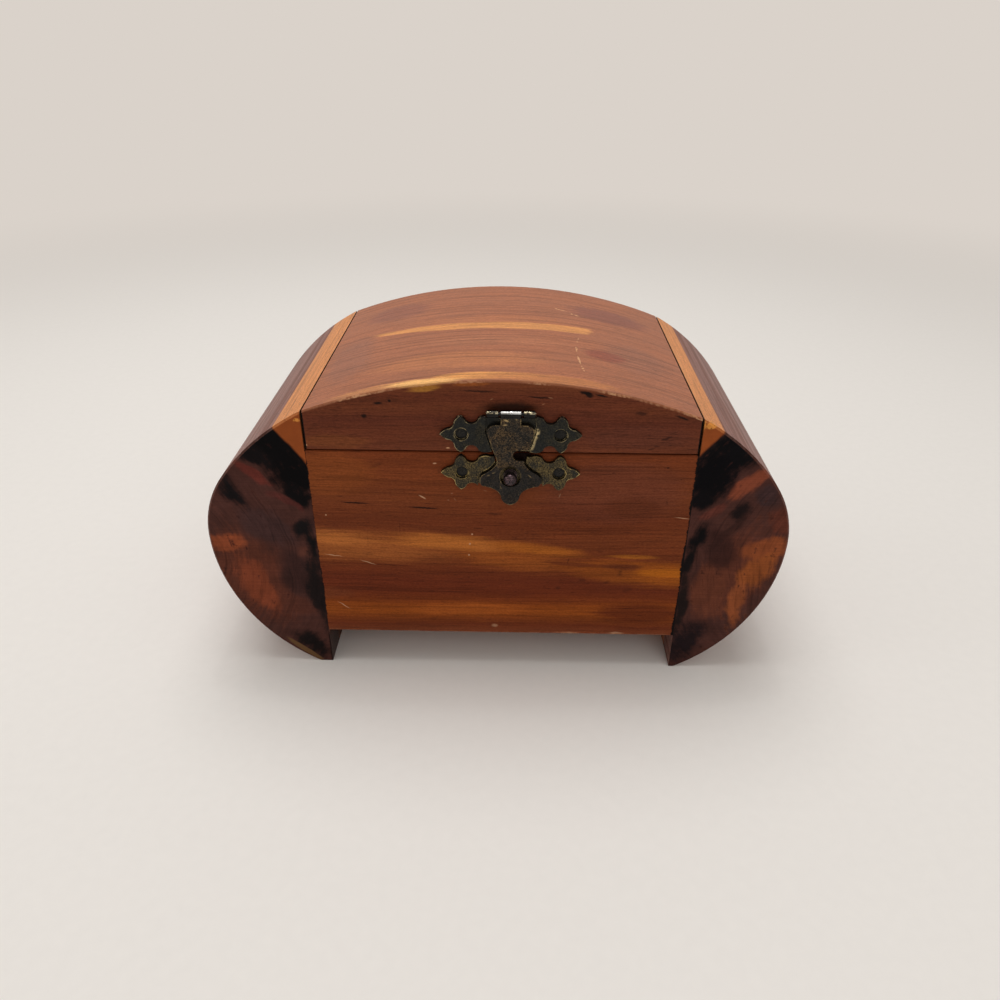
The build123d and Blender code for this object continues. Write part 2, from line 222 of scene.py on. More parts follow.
def dress(material, *names):
    for name in names:
        piece = nodes[name]
        piece.data.materials.clear()
        piece.data.materials.append(material)


# Camera, floor and light

view = {
    "spot": (0.00417, -0.2118, 0.15835),  # metres
    "tilt": 59.17,  # degrees up from straight down
    "heading": 1.10,
    "roll": 0.25,
    "lens": 28.58,  # millimetres, on film of the width below
    "film": 36.0,
    "nearest": 0.01,
}

camera = bpy.data.objects.new("camera", bpy.data.cameras.new("camera"))
bpy.context.scene.collection.objects.link(camera)
turns = [
    Matrix.Rotation(math.radians(view["heading"]), 4, "Z"),
    Matrix.Rotation(math.radians(view["tilt"]), 4, "X"),
    Matrix.Rotation(math.radians(view["roll"]), 4, "Z"),
]
camera.matrix_world = Matrix.Translation(view["spot"]) @ turns[0] @ turns[1] @ turns[2]
camera.data.lens = view["lens"]
camera.data.sensor_width = view["film"]
camera.data.clip_start = view["nearest"]
bpy.context.scene.camera = camera
bpy.context.scene.view_settings.view_transform = "Standard"

studio = {
    "floorReach": 12.0,
    "floorShade": (241, 237, 232),
    "mottleSize": 3.0,
    "mottleDepth": 0.02,
    "backShade": (218, 210, 202),
    "backNear": 0.30,  # the floor keeps its own light and shadow up to here
    "backFar": 0.75,
    "skyShade": (255, 250, 244),
    "skyStrength": 0.42,
    "aim": (0, 0, 0.05),  # all lamps look here
}

lamps = {
    "overhead": {"spot": (-0.05, 0.10, 0.75), "size": 0.6, "power": 2.7},
    "front": {"spot": (0.25, -0.75, 0.55), "size": 0.6, "power": 0.9},
    "side": {"spot": (-0.8, -0.1, 0.45), "size": 0.5, "power": 0.5},
    "glint": {"spot": (0.0, 0.12, 0.85), "size": 0.05, "power": 0.22},
}


def makeFloor():
    shape = bmesh.new()
    reach = studio["floorReach"]
    corners = [(-reach, -reach, 0), (reach, -reach, 0), (reach, reach, 0), (-reach, reach, 0)]
    shape.faces.new([shape.verts.new(corner) for corner in corners])
    mesh = bpy.data.meshes.new("floor")
    shape.to_mesh(mesh)
    floor = bpy.data.objects.new("floor", mesh)
    bpy.context.scene.collection.objects.link(floor)
    finish = Finish("pale_floor")
    place = finish.place()
    mottle = finish.grains(place, studio["mottleSize"], detail=3.0)
    colour = finish.dim(shade(*studio["floorShade"]), mottle.sway(studio["mottleDepth"]))
    plain = finish.node("ShaderNodeBsdfDiffuse", None, {"Color": colour})
    backdrop = finish.node("ShaderNodeEmission", None, {"Color": shade(*studio["backShade"])})
    away = finish.vector("LENGTH", place, output="Value")
    far = finish.rise(away, studio["backNear"] / mm, studio["backFar"] / mm)
    seen = finish.node("ShaderNodeLightPath", output="Is Camera Ray")
    mixed = finish.node("ShaderNodeMixShader", None, {0: far * seen, 1: plain, 2: backdrop})
    finish.node("ShaderNodeOutputMaterial", None, {"Surface": mixed})
    mesh.materials.append(finish.owner)


def makeSky():
    sky = Finish("sky", "worlds")
    bpy.context.scene.world = sky.owner
    cameraRay = sky.node("ShaderNodeLightPath", output="Is Camera Ray")
    paths = cameraRay.socket.node.outputs
    glossyRay = Wire(sky, paths["Is Glossy Ray"])
    clearRay = Wire(sky, paths["Is Transmission Ray"])
    lit = {"Color": shade(*studio["skyShade"]), "Strength": studio["skyStrength"]}
    shown = {"Color": shade(*studio["backShade"]), "Strength": 1.0}
    sockets = {
        0: sky.limit(cameraRay + glossyRay + clearRay),
        1: sky.node("ShaderNodeBackground", None, lit),
        2: sky.node("ShaderNodeBackground", None, shown),
    }
    mixed = sky.node("ShaderNodeMixShader", None, sockets)
    sky.node("ShaderNodeOutputWorld", None, {"Surface": mixed})


def hangLamp(name, lamp):
    data = bpy.data.lights.new(name, "AREA")
    data.shape = "DISK"
    data.size = lamp["size"]
    data.energy = lamp["power"]
    light = bpy.data.objects.new(name, data)
    bpy.context.scene.collection.objects.link(light)
    light.location = lamp["spot"]
    aim = Vector(studio["aim"]) - Vector(lamp["spot"])
    light.rotation_euler = aim.to_track_quat("-Z", "Y").to_euler()


makeFloor()
makeSky()
for name, lamp in lamps.items():
    hangLamp(name, lamp)
print("camera, floor and light ready")


# Places on the box that the finishes follow, in millimetres

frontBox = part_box("front_board")
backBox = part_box("back_board")
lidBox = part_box("lid")
front = frontBox[0].y / mm
back = backBox[1].y / mm
insideFront = frontBox[1].y / mm
insideBack = backBox[0].y / mm
leftJoint = frontBox[0].x / mm
rightJoint = frontBox[1].x / mm
boardBottom = frontBox[0].z / mm
boardTop = frontBox[1].z / mm
lidBottom = lidBox[0].z / mm
lidMiddle = (lidBox[0].x + lidBox[1].x) / 2 / mm
lidHalf = (lidBox[1].x - lidBox[0].x) / 2 / mm
arch = {"radius": 136.6, "top": lidBox[1].z / mm}
archMiddle = arch["top"] - arch["radius"]

# Each pair of distances says where a mask is 0 and where it is 1
inside = {
    "shade": (176, 112, 78),
    "fromFaces": (-0.5, 0.0),
    "fromJoints": (-0.3, 0.0),
    "overSeam": (0.6, 0.3),
    "endGapShadow": (2.5, 0.5),  # under the outside faces
}


# 1 inside the box, 0 outside, so that bare wood shows there
def bareInside(finish, place):
    x, y, z = finish.parts(place)
    across = finish.between(y, insideFront, insideBack, *inside["fromFaces"])
    along = finish.between(x, leftJoint, rightJoint, *inside["fromJoints"])
    none, full = inside["overSeam"]
    return across * along * finish.rise(z, lidBottom + none, lidBottom + full)


def bareWood(finish, tone):
    return finish.dim(shade(*inside["shade"]), tone)


# 1 at the outside of the box, 0 a few millimetres deeper, for the painted shadow in the lid's end gaps
def nearOutside(finish, place):
    none, full = inside["endGapShadow"]
    halfDepth = (back - front) / 2
    off = abs(finish.parts(place)[1] - (front + back) / 2)
    level = finish.fromLine(place, (0, 0, archMiddle))
    atFaces = finish.rise(off, halfDepth - none, halfDepth - full)
    atTop = finish.rise(level, arch["radius"] - none, arch["radius"] - full)
    return finish.limit(atFaces + atTop)


# Reach of one mark, how much it changes the tone, and the look of its noise
grain = {
    "fibre": {"length": 13.0, "width": 0.34, "depth": 0.44, "detail": 3.0, "rough": 0.65, "shift": 0.0},
    "ring": {"length": 55.0, "width": 0.9, "depth": 0.20, "detail": 2.0, "rough": 0.5, "shift": 4.0},
    "pore": {"length": 3.2, "width": 0.22, "depth": 0.34, "detail": 1.0, "rough": 0.5, "shift": 9.0},
    "fleck": {"length": 0.7, "width": 0.28, "depth": 0.5, "detail": 2.0, "rough": 0.7, "shift": 14.0},
    "ringBand": (0.53, 0.66),  # the part of the noise that makes a ring line
    "poreBand": (0.60, 0.72),
    "ringSink": 0.3,
    "poreSink": 0.6,
}


# Tone and height of long grain. Direction is 0 for grain along X and 1 for grain along Y.
def grainMarks(finish, place, direction, shift=0.0):
    def spread(kind):
        mark = grain[kind]
        reach = [mark["width"]] * 3
        reach[direction] = mark["length"]
        return finish.noise(place, reach, mark["detail"], mark["rough"], shift + mark["shift"])

    fibre = spread("fibre")
    lines = finish.rise(spread("ring"), *grain["ringBand"])
    dashes = finish.rise(spread("pore"), *grain["poreBand"])
    tone = fibre.sway(grain["fibre"]["depth"]) * spread("fleck").sway(grain["fleck"]["depth"])
    tone = tone * (1.0 - grain["ring"]["depth"] * lines) * (1.0 - grain["pore"]["depth"] * dashes)
    return tone, fibre - grain["poreSink"] * dashes - grain["ringSink"] * lines


# Patches on the two faces: how deep they go, and the part of the frayed mask that makes their border
patchForm = {
    "front": {"depth": 400.0, "border": (0.12, 0.88)},
    "top": {"depth": 60.0, "border": (0.1, 0.8)},
    "fray": 0.9,  # how much the noise breaks up a border
    "markSoft": 0.75,
}


# A soft oval, given flat: by X and Z on the front face, or by X and Y on the top
def oval(at, reach, tint=None, turn=0, strength=1.0, soft=0.8):
    return {"at": at, "reach": reach, "tint": tint, "turn": turn, "strength": strength, "soft": soft}


# Place, reach and turn in space of a flat oval, at a distance under the face
def inSpace(mark, face, depth, under=0.0):
    first, second = mark["at"]
    across, up = mark["reach"]
    if face == "top":
        return (first, second, arch["top"] - under), (across, up, depth), (0, 0, mark["turn"])
    return (first, front, second), (across, depth, up), (0, -mark["turn"], 0)


# Lay soft coloured ovals over a colour. The fray is a noise from 0 to 1.
def layPatches(finish, place, fray, colour, patches, light, face="front"):
    for patch in patches:
        spot = inSpace(patch, face, patchForm[face]["depth"])
        mask = finish.patch(place, *spot, patch["soft"])
        torn = finish.rise(mask + patchForm["fray"] * (fray - 0.5), *patchForm[face]["border"])
        colour = finish.blend(torn * patch["strength"], colour, shade(*patch["tint"], light))
    return colour


# Thin marks that lie on one face only
def drawMarks(finish, place, marks, depth=1.0, face="front", under=0.0):
    total = 0.0
    for mark in marks:
        spot = finish.patch(place, *inSpace(mark, face, depth, under), patchForm["markSoft"])
        total = total + spot * mark["strength"]
    return total


frontBoard = {
    "light": 1.55,
    "bands": [
        (0.000, (98, 50, 29)),
        (0.050, (88, 39, 19)),
        (0.085, (100, 47, 18)),
        (0.125, (118, 58, 18)),
        (0.165, (116, 56, 17)),
        (0.205, (98, 44, 17)),
        (0.250, (86, 36, 16)),
        (0.320, (84, 35, 17)),
        (0.430, (92, 42, 19)),
        (0.560, (96, 46, 22)),
        (0.650, (89, 41, 20)),
        (0.760, (94, 46, 23)),
        (0.880, (99, 48, 23)),
        (1.000, (96, 45, 21)),
    ],
    "patches": [
        oval((-42, 62), (18, 10), (110, 56, 24), strength=0.7),
        oval((30, 58), (30, 14), (90, 46, 31), strength=0.7),
        oval((20, 52), (20, 5), (82, 38, 22), strength=0.5),
        oval((-50, 44.0), (16, 4.0), (112, 58, 28), strength=0.7),
        oval((-34, 39.8), (42, 8.4), (126, 69, 32), turn=-2, soft=1.0),
        oval((4, 37.4), (30, 8.0), (122, 63, 24), turn=-8, soft=1.0),
        oval((34, 33.0), (26, 6.2), (112, 56, 19), turn=-5),
        oval((46, 32.2), (18, 6.6), (126, 65, 18), turn=-2, soft=0.9),
        oval((-42, 42.4), (20, 3.8), (146, 84, 39), turn=-2, soft=1.0),
        oval((-12, 41.8), (28, 4.4), (148, 85, 36), turn=-4, soft=1.0),
        oval((10, 40.2), (21, 3.0), (138, 75, 25), turn=-6, soft=1.0),
        oval((36.5, 38.0), (11, 1.3), (134, 75, 25), turn=-2, soft=1.0),
        oval((47, 32.8), (14, 2.6), (150, 82, 18), strength=0.8),
        oval((35, 53.0), (12, 5.0), (78, 36, 18), strength=0.7),
        oval((22, 35.4), (13, 1.1), (92, 43, 18), turn=-5),
        oval((33, 34.6), (9, 1.3), (86, 40, 17), turn=-3),
        oval((-8, 34.4), (18, 0.9), (100, 48, 22), turn=-6, strength=0.7),
        oval((-48, 24.6), (14, 3.0), (90, 45, 24), strength=0.6),
        oval((-8, 19.6), (26, 3.4), (136, 69, 25), strength=0.7),
        oval((40, 19), (20, 5.6), (84, 36, 14), strength=0.95),
        oval((20, 46.6), (30, 1.6), (84, 38, 18), turn=-1, strength=0.6),
    ],
    "darkMarks": [
        oval((-36.2, 53.5), (6.0, 0.38), turn=-3),
        oval((-18.7, 52.3), (6.2, 0.36), turn=-3),
        oval((-0.5, 50.8), (3.4, 0.5), strength=0.6),
        oval((-25.2, 46.0), (0.16, 3.4), strength=0.5),
        oval((-33.9, 42.0), (0.14, 3.2), strength=0.4),
        oval((42.3, 64.9), (0.5, 0.45), strength=0.8),
        oval((45.9, 61.5), (0.4, 0.3), strength=0.6),
        oval((29.1, 63.2), (0.9, 0.4), strength=0.5),
        oval((43.2, 54.8), (0.5, 1.1), turn=15, strength=0.4),
        oval((23.1, 30.2), (1.7, 1.1), strength=0.45),
        oval((29.8, 29.7), (1.3, 0.8), turn=35, strength=0.45),
        oval((33.1, 32.7), (0.9, 1.9), turn=-10, strength=0.5),
        oval((16.7, 27.4), (1.2, 0.8), strength=0.5),
        oval((35.4, 27.1), (2.2, 1.4), turn=20, strength=0.4),
        oval((19.0, 36.4), (0.22, 1.8), turn=-15, strength=0.6),
        oval((-30.0, 64.6), (3.6, 0.9), turn=28, strength=0.35),
        oval((6.4, 67.4), (4.2, 2.4), strength=1.6),  # painted shadow behind the hasp's notch
    ],
    "paleMarks": [
        oval((-18.9, 55.5), (1.6, 0.28), turn=-32),
        oval((-43.4, 37.1), (3.6, 0.22), turn=-8, strength=0.8),
        oval((-34.4, 35.0), (3.2, 0.24), turn=-20, strength=0.8),
        oval((-42.2, 20.3), (3.0, 0.23), turn=-38, strength=0.8),
        oval((47.6, 50.3), (3.0, 0.20), turn=-7, strength=0.8),
        oval((-6.4, 44.5), (0.42, 0.42)),
        oval((-7.0, 41.4), (0.44, 0.44)),
        oval((-7.3, 37.8), (0.38, 0.38)),
        oval((-44.1, 49.7), (0.38, 0.38)),
        oval((-15.4, 65.3), (0.7, 0.3)),
        oval((-0.5, 14.0), (1.4, 0.9), strength=0.6),
        oval((33.5, 12.0), (2.8, 0.7), strength=0.65),
        oval((20.0, 11.8), (5.0, 0.5), strength=0.5),
        oval((-11.3, 56.7), (0.45, 0.3), strength=0.4),
        oval((-10.6, 55.0), (0.9, 0.16), turn=-50, strength=0.4),
        oval((-12.3, 54.7), (0.4, 0.4), strength=0.35),
        oval((-2.9, 57.6), (0.8, 0.25), turn=-20, strength=0.35),
        oval((15.9, 56.5), (0.24, 1.1), turn=-20, strength=0.4),
    ],
}

# What the three boards share.
# Waves are pairs: their reach, and how far they push the wood. A pair of distances says where a mark
# ends and where it is full. Bands are the parts of a noise that show.
boardWood = {
    "bend": ((60.0, 30.0, 30.0), (0.0, 0.0, 1.6)),
    "smoke": ((14.0, 14.0, 3.0), (3.0, 0.0, 0.7)),
    "fray": (17.0, 8.0, 0.6),
    "cloud": (22.0, 10.0, 3.0),
    "cloudDepth": 0.18,
    "bareDepth": 0.25,
    "crackAndShadowShade": (24, 11, 8),
    "chipShade": (196, 152, 118),
    "dirtAndShadowShade": (14, 9, 8),
    "tear": ((1.2, 1.2, 1.2), (0.25, 0.0, 0.25)),
    "chipSize": 1.3,
    "chipBand": (0.5, 0.62),
    "dustSize": 0.4,
    "dustBand": (0.76, 0.82),
    "edgeReach": 0.45,
    "edgeBand": (0.03, 0.3),
    "bottomBand": (0.4, 0.6),
    "fromJoint": (0.5, 1.3),
    "fromBottom": (1.1, 0.2),
    "fromSeam": (0.35, 0.1),
    "creep": (5.0, 1.0, 1.4),
    "heapSize": 9.0,
    "rough": 0.42,
    "coat": 0.02,
    # How strongly each kind of mark shows
    "share": {"shadowAndCrack": 0.8, "pale": 0.8, "edge": 0.15, "dust": 0.2, "bottom": 0.25, "seam": 0.25},
    # Black glue that crept out along the joints with the end blocks
    "glue": [
        {"side": 1, "joint": rightJoint, "creep": 1.6, "heap": 1.2, "none": 0.75, "full": 1.2},
        {"side": -1, "joint": leftJoint, "creep": 1.2, "heap": 0.8, "none": 0.7, "full": 1.1},
    ],
}


# Cedar with the grain along X, in flat bands one above the other
def boardCedar(name, board, low, high, shift=0.0):
    finish = Finish(name)
    place = finish.place()
    x, _, z = finish.parts(place)
    bent = finish.warp(place, *boardWood["bend"], shift)
    height = (finish.parts(bent)[2] - low) / (high - low)
    colour = finish.ramp(height, board["bands"], board["light"])
    smoky = finish.warp(place, *boardWood["smoke"], shift + 2.0)
    fray = finish.noise(bent, boardWood["fray"], detail=4.0, rough=0.65, shift=shift + 12.0)
    colour = layPatches(finish, smoky, fray, colour, board["patches"], board["light"])
    tone, relief = grainMarks(finish, bent, 0, shift)
    cloud = finish.noise(place, boardWood["cloud"], detail=3.0, shift=shift + 6.0)
    colour = finish.dim(colour, tone * cloud.sway(boardWood["cloudDepth"]))
    bare = bareInside(finish, place)
    bareTone = tone * cloud.sway(boardWood["bareDepth"])
    colour = finish.blend(bare, colour, bareWood(finish, bareTone))

    share = boardWood["share"]
    frayed = finish.warp(place, *boardWood["tear"], shift + 7.0)
    # Dark marks: cracks, and painted shadow behind the hasp's notch
    dark = drawMarks(finish, frayed, board.get("darkMarks", []))
    cracksAndShadow = finish.limit(dark * share["shadowAndCrack"])
    colour = finish.blend(cracksAndShadow, colour, shade(*boardWood["crackAndShadowShade"]))
    pale = drawMarks(finish, frayed, board.get("paleMarks", []))
    chips = finish.grains(place, boardWood["chipSize"], detail=3.0, shift=shift + 3.0)
    worn = finish.rise(finish.edges(boardWood["edgeReach"]), *boardWood["edgeBand"])
    worn = worn * finish.rise(chips, *boardWood["chipBand"])
    worn = worn * finish.between(x, leftJoint, rightJoint, *boardWood["fromJoint"])
    dust = finish.grains(place, boardWood["dustSize"], shift=shift + 5.0)
    dust = finish.rise(dust, *boardWood["dustBand"])
    none, full = boardWood["fromBottom"]
    lowEdge = finish.rise(z, boardBottom + none, boardBottom + full)
    lowEdge = lowEdge * finish.rise(chips, *boardWood["bottomBand"])
    marks = pale * share["pale"] + worn * share["edge"]
    marks = marks + dust * share["dust"] + lowEdge * share["bottom"]
    lightMarks = finish.limit(marks)
    colour = finish.blend(lightMarks, colour, shade(*boardWood["chipShade"]))

    # Glue at the joints, and painted shadow along the seam under the lid
    creep = finish.noise(place, boardWood["creep"], detail=5.0, rough=0.7, shift=shift + 8.0)
    heap = finish.grains(place, boardWood["heapSize"], detail=1.0, shift=shift + 9.0)
    atJoint = 0.0
    for glue in boardWood["glue"]:
        past = glue["side"] * (x - glue["joint"]) + glue["creep"] * creep + glue["heap"] * heap
        atJoint = atJoint + finish.rise(past, glue["none"], glue["full"])
    none, full = boardWood["fromSeam"]
    atSeam = share["seam"] * finish.rise(z, boardTop - none, boardTop - full)
    glueAndSeamShadow = finish.limit(atJoint + atSeam * (1.0 - bare))
    colour = finish.blend(glueAndSeamShadow, colour, shade(*boardWood["dirtAndShadowShade"]))
    sockets = {
        "Base Color": colour,
        "Roughness": boardWood["rough"] + 0.2 * cloud + 0.2 * bare,
        "Specular IOR Level": 0.06,
        "Coat Roughness": 0.22,
        "Coat Weight": boardWood["coat"] * (1.0 - bare) * (1.0 - lightMarks),
        "Normal": finish.bump(relief * 0.5 - 1.2 * dark, 0.06),
    }
    return finish.surface(sockets)


backBoard = {
    "light": 1.5,
    "bands": [
        (0.00, (98, 50, 29)),
        (0.16, (110, 56, 24)),
        (0.28, (90, 42, 24)),
        (0.47, (98, 48, 27)),
        (0.58, (88, 38, 22)),
        (0.72, (124, 68, 30)),
        (0.80, (96, 46, 26)),
        (1.00, (94, 48, 30)),
    ],
    "patches": [
        oval((20, 50), (40, 3.0), (126, 70, 28), turn=2, strength=0.6),
        oval((-22, 30), (5, 3.4), (62, 28, 18), turn=10, strength=0.9),
    ],
}

bottomBoard = {
    "light": 1.2,
    "bands": [(0.0, (150, 92, 62)), (1.0, (160, 98, 66))],
    "patches": [],
}

dress(boardCedar("front_board_cedar", frontBoard, boardBottom, boardTop), "front_board")
dress(boardCedar("back_board_cedar", backBoard, boardBottom, boardTop, 31.0), "back_board")
bottomSpan = [corner.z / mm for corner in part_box("bottom_board")]
dress(boardCedar("bottom_cedar", bottomBoard, *bottomSpan, 57.0), "bottom_board", "board_tenons")
print("boards finished")


# The lid's waves, pairs of distances and bands are given as on the boards
lidWood = {
    "frontLight": 1.5,
    "topLight": 0.95,
    "front": [
        (0.00, (92, 47, 29)),
        (0.30, (88, 43, 26)),
        (0.45, (80, 38, 24)),
        (0.62, (90, 45, 26)),
        (0.78, (84, 40, 24)),
        (1.00, (96, 50, 28)),
    ],
    "frontPatches": [
        oval((-17, 85.3), (6.5, 1.6), (138, 91, 38), turn=8),
        oval((-6, 86.4), (7, 0.9), (130, 70, 30), turn=2, strength=0.7),
        oval((-40, 71), (14, 3.0), (104, 56, 28), strength=0.6),
        oval((34, 73), (22, 5.0), (76, 40, 30), strength=0.5),
        oval((21, 79), (18, 4.0), (84, 40, 26), strength=0.6),
    ],
    "darkMarks": [
        oval((-28.3, 81.3), (1.5, 0.6)),
        oval((-31.9, 77.9), (1.1, 0.9)),
        oval((-25.6, 81.9), (0.6, 0.55)),
        oval((20.6, 84.6), (2.0, 0.6), turn=-10),
        oval((21.8, 84.0), (1.5, 1.0), turn=-20),
        oval((24.6, 83.9), (2.4, 0.4), turn=-14),
        oval((10.0, 83.2), (4.5, 0.30), turn=-4),
        oval((34.4, 79.4), (2.4, 0.75), turn=-4, strength=0.7),
        oval((44.3, 78.4), (2.6, 0.50), turn=-20, strength=0.9),
        oval((37.6, 69.9), (1.5, 0.30), turn=8, strength=0.6),
        oval((38.9, 70.7), (1.4, 0.30), turn=10, strength=0.6),
        oval((40.6, 72.6), (1.5, 0.36), turn=12, strength=0.7),
        oval((41.6, 73.2), (1.3, 0.36), turn=14, strength=0.7),
        oval((42.6, 74.4), (1.4, 0.28), turn=16, strength=0.5),
        oval((42.2, 71.0), (0.7, 0.40), strength=0.5),
        oval((-4.0, 84.6), (7.0, 0.35), turn=-2, strength=0.8),
        oval((3.4, 80.5), (10.5, 2.3), strength=0.9),  # painted shade above the knuckles, where the barrel meets the lid
        oval((6.4, 69.6), (4.2, 1.6), strength=1.6),  # painted shadow behind the hasp's notch
    ],
    "paleMarks": [
        oval((-46.9, 69.9), (0.6, 0.4)),
        oval((-12.0, 69.6), (0.7, 0.3)),
        oval((-1.3, 82.6), (0.8, 0.2), turn=30, strength=0.4),
        oval((12.7, 83.1), (0.9, 0.2), turn=-10, strength=0.5),
        oval((11.0, 81.5), (0.6, 0.2), turn=35, strength=0.4),
    ],
    "top": (170, 104, 72),
    "streaks": [
        oval((-2, 6.0), (40, 7.0), (182, 112, 74), turn=2, strength=0.8),
        oval((-24, -36.8), (26, 2.6), (202, 136, 82), strength=0.7),
        oval((-3, -34.9), (19, 3.4), (236, 160, 88)),
        oval((-17, -37.0), (13, 3.0), (255, 192, 116)),
        oval((12, -35.6), (26, 4.2), (196, 124, 72), strength=0.8),
        oval((-10, -24.0), (34, 9.0), (188, 118, 76), strength=0.8),
        oval((-2, -10.0), (30, 6.0), (178, 112, 78), strength=0.7),
        oval((-31, 23.0), (15, 11.0), (146, 88, 70), strength=0.7),
        oval((32, 21.0), (18, 10.0), (136, 80, 68), strength=0.7),
        oval((36, -12.0), (14, 16.0), (152, 98, 76), strength=0.5),
        oval((27.5, -14.0), (8.0, 5.4), (148, 76, 56), strength=0.8),
        oval((-40, -10.0), (9, 26.0), (152, 100, 80), strength=0.5),
    ],
    "crown": {
        "middle": (-2.0, 1.7),
        "bend": 0.0026,
        "half": 2.7,
        "left": -36.5,
        "right": 25.8,
        "taper": 26.0,  # from the left end to the full width
    },
    "crownShade": (218, 146, 84),
    "scratches": [
        oval((21.0, -5.6), (0.34, 2.8), turn=-10),
        oval((20.2, -12.5), (0.42, 4.0)),
        oval((20.4, -20.5), (0.46, 4.2), turn=4),
        oval((21.0, -26.0), (0.46, 2.6), turn=8),
        oval((17.3, 19.7), (3.0, 0.62), turn=-24),
        oval((21.2, 16.8), (2.4, 0.72), turn=-32),
        oval((-15.0, -3.0), (0.3, 0.3)),
        oval((12.0, -33.0), (1.0, 0.3), turn=12),
    ],
    "scratchDepth": {"depth": 4.0, "under": 1.5},
    "bend": ((60.0, 40.0, 40.0), (0.0, 1.8, 1.4)),
    "smoke": ((12.0, 8.0, 3.0), (2.2, 0.8, 0.6)),
    "fray": (15.0, 0.7, 0.5),
    "topBend": ((60.0, 40.0, 40.0), (0.0, 1.4, 1.2)),
    "topFlat": 0.97,  # how far heights are pressed flat on the top
    "topEdge": (0.5, 0.15),  # under the arch: still the front's colour, and all the top's
    "line": (60.0, 1.0, 1.1),
    "lineBand": (0.54, 0.64),
    "lineDepth": 0.10,
    "cloud": (24.0, 8.0, 4.0),
    "cloudDepth": 0.14,
    "ringStep": 4.2,  # from one ring to the next on the top
    "ringBand": (0.70, 0.98),
    "ringWander": 5.0,
    "ringWave": (90.0, 9.0, 400.0),
    "ringBreak": (50.0, 7.0, 400.0),
    "breakBand": (0.3, 0.6),
    "ringDepth": 0.2,
    "crackAndShadowShade": (24, 12, 8),
    "rimShade": (112, 62, 38),
    "chipShade": (214, 160, 118),
    "dirtAndShadowShade": (12, 8, 7),
    "tear": ((1.2, 1.2, 1.2), (0.3, 0.0, 0.3)),
    "chipSize": 1.1,
    "chipBand": (0.34, 0.60),
    "dotSize": 0.8,
    "dotBand": (0.42, 0.56),
    "handledSize": 16.0,
    "handledBand": (0.62, 0.38),
    "underRim": (2.0, 1.0),
    "fromSeam": (0.3, 0.05),
    "fromEnd": (0.08, -0.06),
    "endSlope": 0.22,
    "rough": 0.38,
    "coat": 0.02,
    "topCoat": 0.20,
}


# One narrow band of sapwood along the crown, bent back a little towards its ends
def crownStreak(finish, place, fray):
    crown = lidWood["crown"]
    x, y, _ = finish.parts(place)
    along = x - crown["middle"][0]
    off = abs(y - crown["middle"][1] - crown["bend"] * along * along)
    torn = fray - 0.5
    taper = 0.5 + 0.5 * finish.rise(x, crown["left"], crown["left"] + crown["taper"])
    within = finish.rise(off - crown["half"] * taper + 1.2 * torn, 0.4, -0.7)
    fromLeft = finish.rise(x + 6.0 * torn, crown["left"], crown["left"] + 4.0)
    return within * fromLeft * finish.rise(x + 5.0 * torn, crown["right"], crown["right"] - 2.5)


